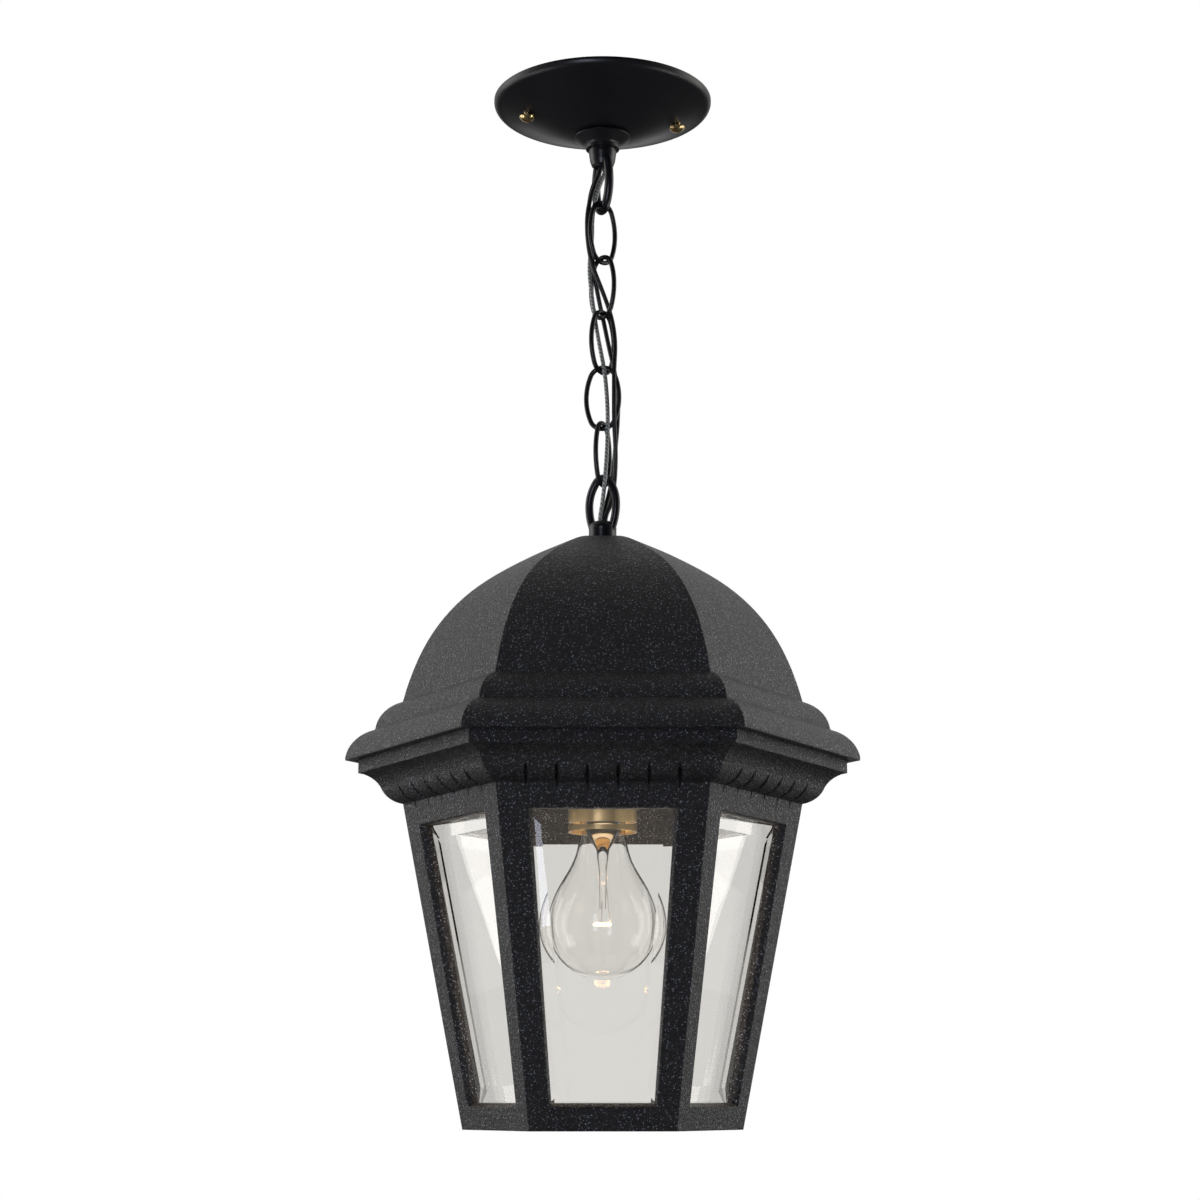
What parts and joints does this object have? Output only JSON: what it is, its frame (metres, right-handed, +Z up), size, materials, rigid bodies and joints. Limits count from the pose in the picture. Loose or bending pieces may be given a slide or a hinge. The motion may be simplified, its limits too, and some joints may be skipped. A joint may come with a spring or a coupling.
{
  "type": "hanging lantern",
  "caption": "Six-sided lantern with a domed roof, bevelled glass and a bulb in a brass cup, hung on a chain from a round ceiling canopy.",
  "frame": {"origin": "centre of the canopy's ceiling face, where the lamp is held up", "axes": "+Z up, along the chain; one face of the hexagon looks toward -Y, corners toward +X and -X"},
  "size_m": [0.2852, 0.247, 0.5885],
  "materials": {
    "cast_black": "sand-cast texture under black powder coat",
    "black_steel": "smooth satin black",
    "black_cast_loop": "semi-gloss black enamel",
    "black_chain": "semi-gloss black",
    "glass": "clear bevelled",
    "zinc_steel": "zinc plated",
    "brass": "satin spun brass",
    "brass_screw": "polished",
    "green_screw": "green plated",
    "porcelain": "unglazed white",
    "bulb_glass": "clear blown",
    "bulb_cap": "rolled thread",
    "solder": "solder",
    "black_glass": "opaque",
    "filament": "glowing",
    "black_lead": "black insulation",
    "clear_lead": "clear insulation over a bare conductor"
  },
  "bodies": {
    "canopy": {"canopy_collar": "black_steel", "canopy_locknut": "zinc_steel", "canopy_loop": "black_cast_loop", "canopy_pipe": "zinc_steel", "canopy_plate": "black_steel", "canopy_screw_far": "brass_screw", "canopy_screw_near": "brass_screw", "ground_screw": "green_screw", "lead_ground": "clear_lead", "lead_line": "black_lead", "lead_neutral": "black_lead", "mounting_strap": "zinc_steel", "strap_locknut": "zinc_steel"},
    "link_1": {"chain_link_1": "black_chain"},
    "link_2": {"chain_link_2": "black_chain"},
    "link_3": {"chain_link_3": "black_chain"},
    "link_4": {"chain_link_4": "black_chain"},
    "link_5": {"chain_link_5": "black_chain"},
    "lantern": {"cage": "cast_black", "centre_pipe": "zinc_steel", "clip_screw_1": "zinc_steel", "clip_screw_2": "zinc_steel", "clip_screw_3": "zinc_steel", "clip_screw_4": "zinc_steel", "clip_screw_5": "zinc_steel", "clip_screw_6": "zinc_steel", "cup_locknut": "zinc_steel", "glass_pane_1": "glass", "glass_pane_2": "glass", "glass_pane_3": "glass", "glass_pane_4": "glass", "glass_pane_5": "glass", "glass_pane_6": "glass", "lantern_loop": "black_cast_loop", "pane_clip_1": "zinc_steel", "pane_clip_2": "zinc_steel", "pane_clip_3": "zinc_steel", "pane_clip_4": "zinc_steel", "pane_clip_5": "zinc_steel", "pane_clip_6": "zinc_steel", "roof": "cast_black", "roof_locknut": "zinc_steel", "roof_screw_1": "zinc_steel", "roof_screw_2": "zinc_steel", "roof_screw_3": "zinc_steel", "socket_body": "porcelain", "socket_contact": "brass", "socket_cup": "brass", "socket_shell": "brass"},
    "bulb": {"bulb_glass": "bulb_glass", "bulb_cap": "bulb_cap", "bulb_insulator": "black_glass", "bulb_tip": "solder", "bulb_stem": "bulb_glass", "filament": "filament"}
  },
  "joints": [
    {"name": "link_1_swing", "type": "hinge", "parent": "canopy", "child": "link_1", "pos_m": [0, 0, -0.067], "axis": [0.4226, -0.9063, 0], "range_deg": [-14, 14], "deforming": ["lead_ground", "lead_line", "lead_neutral"]},
    {"name": "link_2_swing", "type": "hinge", "parent": "link_1", "child": "link_2", "pos_m": [0, 0, -0.099], "axis": [0.7431, 0.6691, 0], "range_deg": [-14, 14], "deforming": ["lead_ground", "lead_line", "lead_neutral"]},
    {"name": "link_3_swing", "type": "hinge", "parent": "link_2", "child": "link_3", "pos_m": [0, 0, -0.1322], "axis": [0.682, -0.7314, 0], "range_deg": [-14, 14], "deforming": ["lead_ground", "lead_line", "lead_neutral"]},
    {"name": "link_4_swing", "type": "hinge", "parent": "link_3", "child": "link_4", "pos_m": [0, 0, -0.1654], "axis": [0.6691, 0.7431, 0], "range_deg": [-14, 14], "deforming": ["lead_ground", "lead_line", "lead_neutral"]},
    {"name": "link_5_swing", "type": "hinge", "parent": "link_4", "child": "link_5", "pos_m": [0, 0, -0.1986], "axis": [0.9703, -0.2419, 0], "range_deg": [-14, 14], "deforming": ["lead_ground", "lead_line", "lead_neutral"]},
    {"name": "lantern_swing", "type": "hinge", "parent": "link_5", "child": "lantern", "pos_m": [0, 0, -0.2318], "axis": [0.4067, 0.9135, 0], "range_deg": [-14, 14], "deforming": ["lead_ground", "lead_line", "lead_neutral"]},
    {"name": "bulb_out", "type": "slide", "parent": "lantern", "child": "bulb", "axis": [0, 0, -1], "range_m": [0, 0.195]}
  ]
}
